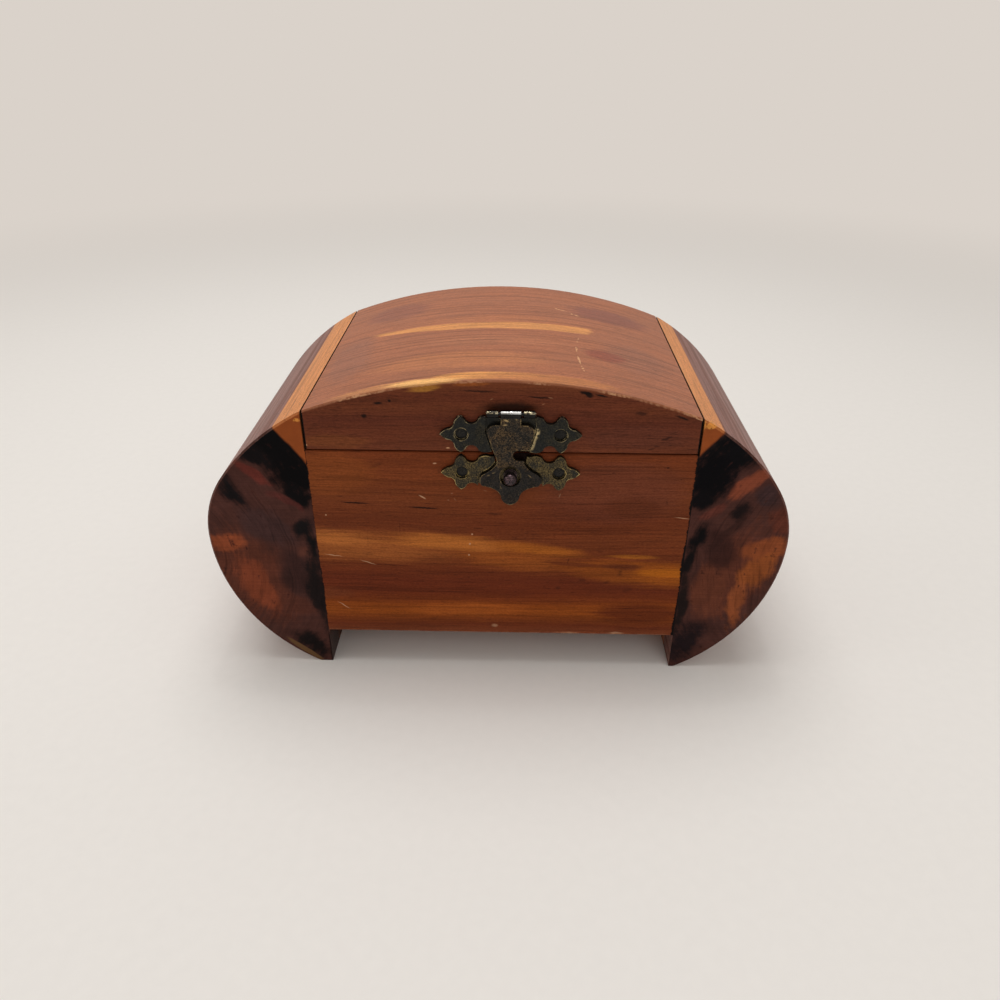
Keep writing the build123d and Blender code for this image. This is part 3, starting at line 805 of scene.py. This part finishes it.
def lidCedar():
    finish = Finish("lid_cedar")
    place = finish.place()
    x, y, z = finish.parts(place)
    bent = finish.warp(place, *lidWood["bend"], 11.0)
    height = (finish.parts(bent)[2] - lidBottom) / (arch["top"] - lidBottom)
    colour = finish.ramp(height, lidWood["front"], lidWood["frontLight"])
    smoky = finish.warp(place, *lidWood["smoke"], 13.0)
    fray = finish.noise(bent, lidWood["fray"], detail=4.0, rough=0.65, shift=31.0)
    patches = lidWood["frontPatches"]
    colour = layPatches(finish, smoky, fray, colour, patches, lidWood["frontLight"])

    # The arched top is planed across the rings and is paler than the front, partly from the grain and
    # partly as painted light from above
    light = lidWood["topLight"]
    top = shade(*lidWood["top"], light)
    top = layPatches(finish, smoky, fray, top, lidWood["streaks"], light, "top")
    top = finish.blend(crownStreak(finish, smoky, fray), top, shade(*lidWood["crownShade"]))
    level = finish.fromLine(place, (0, 0, archMiddle))
    none, full = lidWood["topEdge"]
    onTop = finish.rise(level, arch["radius"] - none, arch["radius"] - full)
    colour = finish.blend(onTop, colour, top)

    # On the top the grain follows the arch, so heights are pressed flat there
    flatZ = z * (1.0 - lidWood["topFlat"] * onTop)
    along = finish.node("ShaderNodeCombineXYZ", None, {0: x, 1: y, 2: flatZ})
    along = finish.warp(along, *lidWood["topBend"], 11.0)
    tone, relief = grainMarks(finish, along, 0, 17.0)
    coarse = finish.noise(along, lidWood["line"], rough=0.6, shift=2.0)
    lines = finish.rise(coarse, *lidWood["lineBand"])
    cloud = finish.noise(along, lidWood["cloud"], detail=3.0, shift=8.0)
    wander = lidWood["ringWander"] * finish.noise(along, lidWood["ringWave"], detail=1.0, shift=5.0)
    ringAngle = (finish.parts(along)[1] + wander) * (2 * math.pi / lidWood["ringStep"])
    clear = finish.noise(along, lidWood["ringBreak"], detail=1.0, shift=9.0)
    rings = finish.rise(ringAngle.sine(), *lidWood["ringBand"]) * onTop
    rings = rings * finish.rise(clear, *lidWood["breakBand"])
    tone = tone * (1.0 - lidWood["lineDepth"] * lines) * (1.0 - lidWood["ringDepth"] * rings)
    colour = finish.dim(colour, tone * cloud.sway(lidWood["cloudDepth"]))
    sideways, forwards, upwards = finish.facing()
    below = finish.rise(upwards, -0.85, -0.95)
    colour = finish.blend(below, colour, bareWood(finish, tone))

    frayed = finish.warp(place, *lidWood["tear"], 19.0)
    # Dark marks: cracks, painted shadow behind the hasp's notch and painted shade above the knuckles
    dark = drawMarks(finish, frayed, lidWood["darkMarks"])
    colour = finish.blend(finish.limit(dark * 0.85), colour, shade(*lidWood["crackAndShadowShade"]))
    dots = finish.rise(finish.grains(place, lidWood["dotSize"], shift=3.0), *lidWood["dotBand"])
    scratches = lidWood["scratches"]
    pale = 1.3 * drawMarks(finish, place, scratches, face="top", **lidWood["scratchDepth"]) * dots
    pale = pale + drawMarks(finish, frayed, lidWood["paleMarks"])
    chips = finish.grains(place, lidWood["chipSize"], detail=3.0, shift=7.0)
    none, full = lidWood["underRim"]
    onRim = finish.rise(abs(forwards), 0.3, 0.6) * finish.rise(abs(forwards), 0.95, 0.8)
    onRim = onRim * finish.rise(level, arch["radius"] - none, arch["radius"] - full)
    handled = finish.grains(place, lidWood["handledSize"], detail=1.0, shift=4.0)
    worn = onRim * finish.rise(chips, *lidWood["chipBand"])
    worn = worn * finish.rise(handled, *lidWood["handledBand"])
    lightMarks = finish.limit(pale * 0.8 + worn * 0.6)
    colour = finish.blend(onRim * 0.45, colour, shade(*lidWood["rimShade"]))
    colour = finish.blend(lightMarks, colour, shade(*lidWood["chipShade"]))

    # Painted shadow in the seam and in the gaps at both ends, strongest near the outside; deeper on the
    # end faces it fades to grime
    none, full = lidWood["fromSeam"]
    atSeam = 0.25 * finish.rise(z, lidBottom + none, lidBottom + full) * (1.0 - below)
    none, full = lidWood["fromEnd"]
    slope = lidWood["endSlope"] * finish.rise(abs(forwards), 0.6, 0.9)
    atEnd = finish.rise(abs(x - lidMiddle) + slope, lidHalf - none, lidHalf - full)
    atEnd = finish.limit(atEnd + finish.rise(abs(sideways), 0.6, 0.9))
    atEnd = atEnd * (0.3 + 0.7 * nearOutside(finish, place))
    colour = finish.blend(finish.limit(atSeam + atEnd), colour, shade(*lidWood["dirtAndShadowShade"]))
    coat = lidWood["coat"] + lidWood["topCoat"] * onTop
    sockets = {
        "Base Color": colour,
        "Roughness": lidWood["rough"] + 0.22 * cloud,
        "Specular IOR Level": 0.07,
        "Coat Roughness": 0.3,
        "Coat Weight": coat * (1.0 - lightMarks) * (1.0 - below),
        "Normal": finish.bump(relief * 0.5 - 1.2 * dark, 0.06),
    }
    return finish.surface(sockets)


dress(lidCedar(), "lid")
print("lid finished")


# End blocks, with the wood that both share. Waves, pairs of distances and bands are as on the boards.
blockWood = {
    "endLight": 1.5,
    "sideLight": 1.1,
    "heart": (62, 36, 31),
    "sapCentre": (99.0, 34.0),  # across and up to the middle of the ring where sapwood starts
    "sapRadius": 60.0,
    "sapSoft": 0.4,
    "sapBottom": (40.0, 50.0),  # heights between which it fades in
    "sapShade": (124, 62, 28),
    "sapSideShade": (206, 134, 78),
    "sideShade": (134, 92, 82),
    "sideStreaks": (112, 62, 48),
    "smoke": ((8.0, 90.0, 8.0), (2.6, 0.0, 2.6)),
    "crisp": ((5.0, 90.0, 5.0), (0.5, 0.0, 0.5)),
    "torn": (3.0, 60.0, 3.0),
    "ring": (0.9, 22.0, 1.0),
    "figure": (1.6, 9.0, 1.0),
    "ringDrift": (26.0, 80.0, 26.0),
    "ringWander": 9.0,
    "ringBand": (0.54, 0.70),
    "ringDepth": 0.3,
    "cloud": (5.0, 60.0, 5.0),
    "cloudDepth": 0.4,
    "figureDepth": 0.4,
    "speck": (0.5, 8.0, 0.5),
    "speckDepth": 0.16,
    "sawn": (16.0, 60.0, 0.35),
    "sawnDepth": 0.22,
    "sapDepth": 0.28,
    "sideDepth": 0.15,
    "streak": (2.2, 110.0, 2.2),
    "streakBand": (0.42, 0.6),
    "barkShade": (84, 60, 38),
    "chipShade": (176, 122, 88),
    "bruiseShade": (222, 146, 68),
    "gritShade": (92, 52, 22),
    "dirtAndShadowShade": (12, 8, 7),
    "edgeReach": 0.5,
    "edgeBand": (0.03, 0.25),
    "chipSize": 1.4,
    "chipBand": (0.5, 0.62),
    "fromJoint": (0.6, 1.4),
    "bruise": ((1.6, 1.6, 1.6), (0.7, 0.0, 0.7)),
    "knockDepth": 3.0,
    "gritSize": 0.7,
    "gritBand": (0.54, 0.68),
    "atLid": (0.16, 0.04),
    "underLid": (0.4, 0.0),
    "atFoot": (0.6, 0.1),
    "footHeight": 2.0,
    "rough": 0.40,
    "coat": 0.01,
    "sideCoat": 0.24,
}

leftBlock = {
    "side": -1,
    "joint": leftJoint,
    "shift": 41.0,
    "footShadow": 0.8,
    "patches": [
        oval((-66, 30), (16, 26), (80, 40, 27), turn=20, strength=0.7),
        oval((-71.0, 40.6), (8, 4.6), (118, 58, 34), turn=4, strength=0.9),
        oval((-65.5, 27), (6.4, 15), (108, 52, 32), turn=20, strength=0.9),
        oval((-54.0, 31), (7, 13), (44, 26, 24), turn=8, strength=0.8),
        oval((-54.6, 20), (6, 6), (74, 39, 29), turn=10, strength=0.7),
        oval((-51.5, 38.5), (3.4, 3.0), (82, 46, 36), strength=0.6),
        oval((-60, 46), (12, 8), (52, 34, 33), turn=-30, strength=0.8),
        oval((-54.6, 69.2), (14, 10), (4, 3, 4), turn=-38),
        oval((-60.5, 67.6), (9.0, 4.6), (12, 8, 9), turn=-36),
        oval((-50.8, 61.0), (9.5, 9.5), (3, 2, 3), turn=-40),
        oval((-51.0, 55.6), (7.0, 4.4), (6, 4, 5), turn=-40),
        oval((-67.4, 56.4), (5.0, 9.4), (14, 10, 12), turn=28, soft=1.0),
        oval((-61.6, 61.6), (9.5, 2.4), (88, 38, 31), turn=-42, strength=0.85),
        oval((-54.0, 53.6), (7.5, 1.8), (72, 34, 30), turn=-24, strength=0.8),
        oval((-50.0, 46.4), (4.4, 7.2), (14, 11, 12), turn=-50, soft=1.0),
        oval((-48.4, 40.0), (3.0, 12), (12, 9, 10), turn=4, soft=1.0),
        oval((-48.4, 24), (5.0, 24), (20, 13, 13), turn=4, soft=1.0),
        oval((-53.0, 6.6), (11.0, 6.6), (16, 10, 10), turn=-40, soft=1.0),
    ],
    "bark": [oval((-54.8, 4.0), (8.4, 1.1), turn=-41)],
    "knocks": [oval((-48.4, 76.6), (1.2, 0.7), strength=0.6)],
}

rightBlock = {
    "side": 1,
    "joint": rightJoint,
    "shift": 71.0,
    "footShadow": 0.2,
    "patches": [
        oval((64, 34), (15, 22), (84, 42, 28), turn=-15, strength=0.6),
        oval((58, 27), (8, 17), (84, 44, 30), turn=-8, strength=0.8),
        oval((70.5, 41.0), (10, 5.4), (114, 58, 31), turn=12, strength=0.9),
        oval((69.0, 33.5), (6.4, 9.5), (122, 64, 30), turn=-22, strength=0.9),
        oval((65.4, 23), (4.0, 11), (118, 62, 34), turn=-6, strength=0.9),
        oval((73.4, 50.0), (5.0, 7.0), (84, 40, 28), strength=0.7),
        oval((57.2, 68.6), (13.5, 9.6), (6, 5, 7), turn=36),
        oval((53.0, 62.4), (10.0, 10.0), (4, 3, 5), turn=45),
        oval((51.4, 56.0), (5.0, 5.0), (7, 5, 7), turn=30),
        oval((69.0, 57.0), (4.6, 5.6), (44, 32, 34), turn=30, strength=0.7),
        oval((63.2, 60.4), (10.0, 3.6), (108, 54, 36), turn=38, strength=0.9),
        oval((55.0, 52.2), (6.6, 2.0), (80, 40, 32), turn=40, strength=0.8),
        oval((62.8, 52.6), (5.6, 4.2), (22, 13, 13), turn=50, soft=1.0),
        oval((60.0, 46.5), (10, 2.2), (40, 22, 19), turn=50, strength=0.7),
        oval((58.8, 41.0), (7, 11), (42, 22, 19), turn=20, strength=0.85),
        oval((51.8, 44.0), (3.4, 9.4), (7, 5, 7), turn=-30, soft=1.0),
        oval((50.4, 36.0), (3.0, 10.0), (12, 8, 9), turn=-6, soft=1.0),
        oval((50.2, 22), (3.4, 19), (22, 14, 13), turn=-4, soft=1.0),
        oval((53.0, 9.0), (8.4, 13.4), (24, 15, 17), turn=-18, soft=1.0),
    ],
    "knocks": [
        oval((48.6, 76.2), (2.0, 2.3), turn=10),
        oval((51.8, 76.6), (2.2, 1.3), turn=22),
    ],
}


# Colour of the blocks' front and back, where end grain soaks up the stain: dark and mottled
def endGrain(finish, place, block, crisp, ring, cloud):
    shift = block["shift"]
    light = blockWood["endLight"]
    smoky = finish.warp(place, *blockWood["smoke"], shift)
    speck = finish.noise(place, blockWood["speck"], shift=shift + 3.0)
    drift = finish.noise(place, blockWood["ringDrift"], detail=1.0, shift=shift + 6.0)
    wavy = ring + blockWood["ringWander"] * drift
    ringLine = finish.node("ShaderNodeCombineXYZ", None, {0: wavy, 1: finish.parts(place)[2]})
    rings = finish.noise(ringLine, blockWood["ring"], detail=3.0, rough=0.65, shift=shift)
    torn = finish.noise(place, blockWood["torn"], detail=5.0, rough=0.65, shift=shift + 7.0)
    figure = finish.noise(ringLine, blockWood["figure"], detail=3.0, rough=0.6, shift=shift + 9.0)
    sawn = finish.noise(place, blockWood["sawn"], shift=shift + 8.0)
    fray = 0.5 + 1.1 * (torn - 0.5) + 1.1 * (figure - 0.5)
    ends = layPatches(finish, smoky, fray, shade(*blockWood["heart"], light), block["patches"], light)
    tone = cloud.sway(blockWood["cloudDepth"]) * speck.sway(blockWood["speckDepth"])
    tone = tone * figure.sway(blockWood["figureDepth"]) * sawn.sway(blockWood["sawnDepth"])
    darkRings = finish.rise(rings, *blockWood["ringBand"])
    tone = tone * (1.0 - blockWood["ringDepth"] * darkRings)
    ends = finish.dim(ends, tone)
    onBark = finish.rise(drawMarks(finish, crisp, block.get("bark", [])), 0.0, 0.5)
    return finish.blend(onBark, ends, shade(*blockWood["barkShade"], light))


def blockCedar(name, block):
    finish = Finish(name)
    place = finish.place()
    x, _, z = finish.parts(place)
    shift = block["shift"]
    past = block["side"] * (x - block["joint"])
    across, up = blockWood["sapCentre"]
    crisp = finish.warp(place, *blockWood["crisp"], shift + 1.0)
    ring = finish.fromLine(crisp, (block["side"] * across, 0, up))
    radius = blockWood["sapRadius"]
    sap = finish.rise(ring, radius - blockWood["sapSoft"], radius + blockWood["sapSoft"])
    sap = sap * finish.rise(z, *blockWood["sapBottom"])
    cloud = finish.noise(place, blockWood["cloud"], detail=4.0, rough=0.6, shift=shift + 2.0)
    sapEnds = shade(*blockWood["sapShade"], blockWood["endLight"])
    sapEnds = finish.dim(sapEnds, cloud.sway(blockWood["sapDepth"]))
    ends = finish.blend(sap, endGrain(finish, place, block, crisp, ring, cloud), sapEnds)

    # Long grain on the round outside: paler, in streaks from front to back
    light = blockWood["sideLight"]
    streak = finish.noise(place, blockWood["streak"], detail=3.0, rough=0.6, shift=shift + 4.0)
    streak = finish.rise(streak, *blockWood["streakBand"])
    plain = shade(*blockWood["sideShade"], light)
    sides = finish.blend(streak, plain, shade(*blockWood["sideStreaks"], light))
    sides = finish.blend(sap, sides, shade(*blockWood["sapSideShade"], light))
    tone, relief = grainMarks(finish, place, 1, shift)
    sides = finish.dim(sides, tone * cloud.sway(blockWood["sideDepth"]))
    onEnd = finish.rise(abs(finish.facing()[1]), 0.55, 0.8)
    colour = finish.blend(onEnd, sides, ends)
    bare = bareInside(finish, place)
    colour = finish.blend(bare, colour, bareWood(finish, tone))
    chips = finish.grains(place, blockWood["chipSize"], detail=3.0, shift=shift + 5.0)
    worn = finish.rise(finish.edges(blockWood["edgeReach"]), *blockWood["edgeBand"])
    worn = worn * finish.rise(chips, *blockWood["chipBand"])
    worn = worn * 0.4 * finish.rise(past, *blockWood["fromJoint"])
    colour = finish.blend(worn, colour, shade(*blockWood["chipShade"]))

    # Corners knocked round beside the lid, with bright bruised wood and dirt in it
    bruised = finish.warp(place, *blockWood["bruise"], shift + 10.0)
    knocks = drawMarks(finish, bruised, block["knocks"], blockWood["knockDepth"])
    knocked = finish.rise(knocks, 0.05, 0.6)
    colour = finish.blend(knocked * 0.9, colour, shade(*blockWood["bruiseShade"]))
    grit = finish.grains(place, blockWood["gritSize"], detail=3.0, shift=shift + 11.0)
    grit = knocked * finish.rise(grit, *blockWood["gritBand"]) * 0.8
    colour = finish.blend(grit, colour, shade(*blockWood["gritShade"]))
    # Painted shadow in the gap beside the lid, strongest near the outside; deeper on the inner face it
    # fades to grime
    none, full = blockWood["underLid"]
    atLid = finish.rise(past, *blockWood["atLid"]) * finish.rise(z, boardTop - none, boardTop - full)
    atLid = atLid * (1.0 - bare) * (0.2 + 0.6 * nearOutside(finish, place))
    colour = finish.blend(atLid, colour, shade(*blockWood["dirtAndShadowShade"]))
    inFoot = finish.rise(past, *blockWood["atFoot"])
    inFoot = inFoot * finish.rise(z, boardBottom, boardBottom - blockWood["footHeight"])
    colour = finish.dim(colour, 1.0 - block["footShadow"] * inFoot)
    coat = blockWood["coat"] + blockWood["sideCoat"] * (1.0 - onEnd)
    sockets = {
        "Base Color": colour,
        "Roughness": blockWood["rough"] + 0.2 * cloud,
        "Specular IOR Level": 0.05,
        "Coat Roughness": 0.25,
        "Coat Weight": coat * (1.0 - bare),
        "Normal": finish.bump(relief * 0.5, 0.05),
    }
    return finish.surface(sockets)


dress(blockCedar("left_block_cedar", leftBlock), "left_end_block")
dress(blockCedar("right_block_cedar", rightBlock), "right_end_block")
print("end blocks finished")


# Aged brass and bronze

agedBrass = {
    "base": (40, 37, 27),
    "patina": (19, 21, 19),
    "bright": (196, 176, 130),
    "speckSize": 0.30,
    "specks": 3.0,
    "patinaShare": 0.6,
    "wear": 0.9,
    "rim": 0.55,
    "rough": 0.40,
    "metal": 0.8,
}
platesBrass = {
    **agedBrass,
    "barrel": (176, 164, 134),
    "highlightBand": (0.66, 0.86),
    "rubbed": [
        oval((9.7, 74.4), (1.0, 2.4), turn=-12, strength=0.9),
        oval((8.9, 71.4), (0.7, 3.0), turn=-14, strength=0.7),
    ],
    "dull": [oval((-4.4, 73.0), (3.0, 9.0))],
}
catchBrass = {
    **agedBrass,
    "base": (78, 66, 40),
    "patina": (38, 35, 26),
    "bright": (226, 198, 128),
    "patinaShare": 0.5,
}
hingeBrass = {**agedBrass, "base": (104, 88, 50), "patina": (56, 50, 32), "patinaShare": 0.4}
haspBronze = {
    **agedBrass,
    "base": (64, 50, 33),
    "patina": (36, 31, 24),
    "bright": (190, 162, 112),
    "speckSize": 0.26,
    "specks": 4.8,
    "wear": 0.7,
    "low": (24, 21, 19),
    "barrel": (206, 206, 204),
    "highlightBand": (0.40, 0.66),
    "rubbed": [
        oval((2.6, 78.0), (1.8, 0.6), turn=-6),
        oval((4.2, 78.2), (1.2, 0.5), turn=8),
        oval((2.0, 76.8), (1.0, 0.4), turn=4, strength=0.8),
        oval((-1.4, 63.4), (2.2, 0.35), turn=28, strength=0.6),
        oval((8.4, 62.8), (1.6, 0.3), turn=-40, strength=0.5),
        oval((1.0, 60.0), (0.4, 1.6), turn=14, strength=0.5),
        oval((5.2, 57.0), (0.35, 2.0), turn=-24, strength=0.6),
    ],
}
knobMetal = {**agedBrass, "base": (84, 66, 70), "patina": (36, 28, 31), "wear": 0.2, "rough": 0.2}
tackMetal = {**agedBrass, "base": (34, 32, 28), "patina": (14, 13, 12), "wear": 0.15}

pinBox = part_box("hasp_pin")

# What all the metal shares, with the places of the latch's barrel
metalWork = {
    "seam": (boardTop + lidBottom) / 2,
    "barrelStart": pinBox[0].z / mm - 0.5,
    "middle": (pinBox[0].x + pinBox[1].x) / 2 / mm,
    "toGap": 2.73,  # from the middle to the gaps on both sides of the middle knuckle
    "rubDepth": 4.0,
    "barrelShade": (22, 21, 20),
    "gapShadow": (5, 5, 5),
    "cloudSize": 3.5,
    "rubSize": 1.2,
    "rubBand": (0.34, 0.60),
    "markBand": (0.40, 0.54),  # in the listed marks
    "heldSize": 5.0,
    "heldBand": (0.40, 0.58),
    "edgeBand": (0.015, 0.16),
}


def agedMetal(name, metal, shift=0.0):
    finish = Finish(name)
    place = finish.place()
    x, _, z = finish.parts(place)
    _, forwards, upwards = finish.facing()
    cloud = finish.grains(place, metalWork["cloudSize"], detail=5.0, rough=0.7, shift=shift)
    speck = finish.grains(place, metal["speckSize"], rough=0.6, shift=shift + 2.0)
    rub = finish.grains(place, metalWork["rubSize"], detail=3.0, shift=shift + 4.0)
    held = finish.grains(place, metalWork["heldSize"], detail=1.0, shift=shift + 6.0)
    share = metal["patinaShare"]
    patina = finish.rise(cloud + 0.35 * (speck - 0.5), 0.36 + share * 0.5, 0.20 + share * 0.3)
    colour = finish.blend(patina, shade(*metal["base"]), shade(*metal["patina"]))
    if "low" in metal:
        low = finish.rise(z + 3.0 * cloud, metalWork["seam"] - 1.0, metalWork["seam"] - 3.0)
        colour = finish.blend(low * 0.85, colour, shade(*metal["low"]))
    colour = finish.dim(colour, speck.sway(metal["specks"]))
    # Walls that face neither front nor back get painted shade, and no wear
    shadedWall = finish.rise(abs(forwards), 0.5, 0.2)
    colour = finish.dim(colour, 1.0 - 0.6 * shadedWall)

    # Bright where it is rubbed: at the rims, and in the listed marks
    worn = finish.rise(finish.edges(metal["rim"]), *metalWork["edgeBand"])
    worn = worn * finish.rise(rub, *metalWork["rubBand"]) * metal["wear"] * (1.0 - shadedWall)
    worn = worn * (0.25 + 0.75 * finish.rise(held, *metalWork["heldBand"]))
    rubbed = drawMarks(finish, place, metal.get("rubbed", []), metalWork["rubDepth"])
    dull = drawMarks(finish, place, metal.get("dull", []), metalWork["rubDepth"])
    rubbed = rubbed * finish.rise(rub, *metalWork["markBand"])
    worn = finish.limit(worn * (1.0 - dull) + rubbed)
    smooth = 0.0
    if "barrel" in metal:
        onBarrel = finish.rise(z, metalWork["barrelStart"] - 0.2, metalWork["barrelStart"] + 0.1)
        # Painted shadow in the gaps on both sides of the middle knuckle
        inGap = finish.rise(abs(abs(x - metalWork["middle"]) - metalWork["toGap"]), 0.42, 0.28)
        # Painted highlight in a strip along the barrel's upper front
        paintedHighlight = finish.rise(upwards, 0.25, 0.70) * finish.rise(upwards, 0.97, 0.86)
        paintedHighlight = paintedHighlight * onBarrel * finish.rise(rub + 0.5 * speck, *metal["highlightBand"])
        colour = finish.blend(onBarrel, colour, shade(*metalWork["barrelShade"]))
        colour = finish.blend(onBarrel * inGap, colour, shade(*metalWork["gapShadow"]))
        colour = finish.blend(paintedHighlight * (1.0 - inGap), colour, shade(*metal["barrel"]))
        worn = worn * (1.0 - onBarrel)
        smooth = 0.7 * onBarrel
    colour = finish.blend(worn, colour, shade(*metal["bright"]))
    rough = metal["rough"] + 0.2 * patina + 0.2 * (speck - 0.5)
    sockets = {
        "Base Color": colour,
        "Metallic": metal["metal"] * (1.0 - 0.35 * patina),
        "Roughness": rough * (1.0 - smooth),
        "Specular IOR Level": 0.3,
        "Coat Weight": 0.15,
        "Coat Roughness": 0.12,
        "Normal": finish.bump(speck + 0.5 * cloud, 0.03),
    }
    return finish.surface(sockets)


dress(agedMetal("plate_brass", platesBrass), "lid_latch_plate", "hasp_pin")
dress(agedMetal("catch_brass", catchBrass, 3.0), "catch_plate")
dress(agedMetal("hasp_bronze", haspBronze, 5.0), "hasp")
dress(agedMetal("knob_brass", knobMetal, 9.0), "catch_knob")
tackNodes = ("lid_latch_tacks", "catch_plate_tacks", "hinge_body_tacks", "hinge_lid_tacks")
dress(agedMetal("tack_brass", tackMetal, 12.0), *tackNodes)
hingeParts = ("hinge_body_leaf", "hinge_lid_leaf", "hinge_pin")
hingeNodes = [f"{side}_{part}" for side in ("left", "right") for part in hingeParts]
dress(agedMetal("hinge_brass", hingeBrass, 15.0), *hingeNodes)
print("metal finished")


# Rounded edges on the plates, the hasp, the knob and the hinges, on top of the unchanged solids

rounding = {
    "widths": {
        "lid_latch_plate": 0.26,
        "catch_plate": 0.26,
        "hasp": 0.26,
        "catch_knob": 0.1,
        **{name: 0.15 for name in hingeNodes},
    },
    "weld": 0.002,
    "flat": 1.0,  # faces that meet within this many degrees become one
    "sharp": 40,  # degrees between two faces from which their edge is rounded
    "steps": 3,
}


def roundEdges(name, width):
    piece = nodes[name]
    weld = piece.modifiers.new("join the facets", "WELD")
    weld.merge_threshold = rounding["weld"] * mm
    flatten = piece.modifiers.new("clear flat faces", "DECIMATE")
    flatten.decimate_type = "DISSOLVE"
    flatten.angle_limit = math.radians(rounding["flat"])
    bevel = piece.modifiers.new("round the edges", "BEVEL")
    bevel.width = width * mm
    bevel.segments = rounding["steps"]
    bevel.limit_method = "ANGLE"
    bevel.angle_limit = math.radians(rounding["sharp"])
    bevel.use_clamp_overlap = True


for name, width in rounding["widths"].items():
    roundEdges(name, width)
print("edges rounded")
